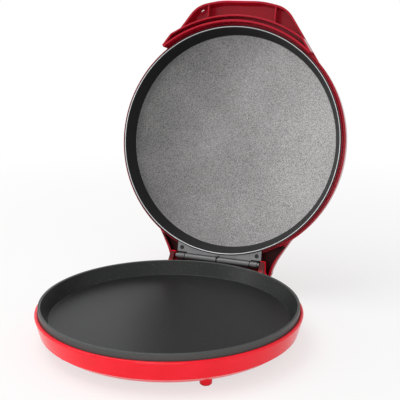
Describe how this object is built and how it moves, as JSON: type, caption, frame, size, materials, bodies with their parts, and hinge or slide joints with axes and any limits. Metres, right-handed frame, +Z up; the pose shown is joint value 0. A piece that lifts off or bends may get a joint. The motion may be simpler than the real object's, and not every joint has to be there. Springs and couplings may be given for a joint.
{
  "type": "electric pizza maker",
  "caption": "Round countertop pizza cooker: a domed lid with a front handle swings on a rear hinge over a dark non-stick pan in a round base.",
  "frame": {"origin": "on the table, under the centre of the round pan", "axes": "+Z up, -Y towards the front where the user stands, +Y towards the hinge, +X to the right seen from the front"},
  "size_m": [0.3183, 0.4254, 0.3885],
  "materials": {
    "red_plastic": "glossy moulded red",
    "crimson_plastic": "glossy moulded crimson",
    "dark_coating": "die cast, dark non-stick coating",
    "grey_coating": "die cast, grey speckled non-stick coating with a bare rim",
    "steel_leaf": "satin plated steel",
    "steel_bright": "bright plated steel",
    "steel_black": "blackened screws",
    "heater_sheath": "heat-darkened sheath",
    "reflector_sheet": "bright sheet",
    "ceramic": "stands in for glazed ceramic",
    "black_rubber": "moulded",
    "lead_sleeve": "heat-proof sleeve",
    "brown_lead": "insulated lead",
    "red_lens": "clear tinted",
    "green_lens": "clear tinted",
    "lamp_glass": "small glass lamps",
    "board": "circuit board"
  },
  "bodies": {
    "base": {"base_housing": "red_plastic", "base_plate": "dark_coating", "base_element": "heater_sheath", "base_element_clips": "steel_bright", "base_reflector": "reflector_sheet", "plate_screws": "steel_bright", "thermostat": "ceramic", "thermal_fuse": "steel_bright", "terminal_block": "ceramic", "supply_leads": "brown_lead", "element_leads": "lead_sleeve", "cord_gland": "black_rubber", "foot_pads": "black_rubber", "base_hinge_leaf": "steel_leaf", "base_leaf_screws": "steel_bright", "hinge_pin": "steel_bright"},
    "lid": {"lid_housing": "crimson_plastic", "lid_plate": "grey_coating", "lid_element": "heater_sheath", "lid_element_clips": "steel_bright", "lid_reflector": "reflector_sheet", "lid_plate_clips": "steel_bright", "reflector_screws": "steel_bright", "lid_hinge_leaf": "steel_leaf", "lid_leaf_screws": "steel_black", "power_lens": "red_lens", "ready_lens": "green_lens", "lamp_board": "board", "lamps": "lamp_glass", "lamp_leads": "lead_sleeve"}
  },
  "joints": [
    {"name": "lid_hinge", "type": "hinge", "parent": "base", "child": "lid", "pos_m": [0, 0.1622, 0.0485], "axis": [1, 0, 0], "range_deg": [0, 102.6]}
  ]
}
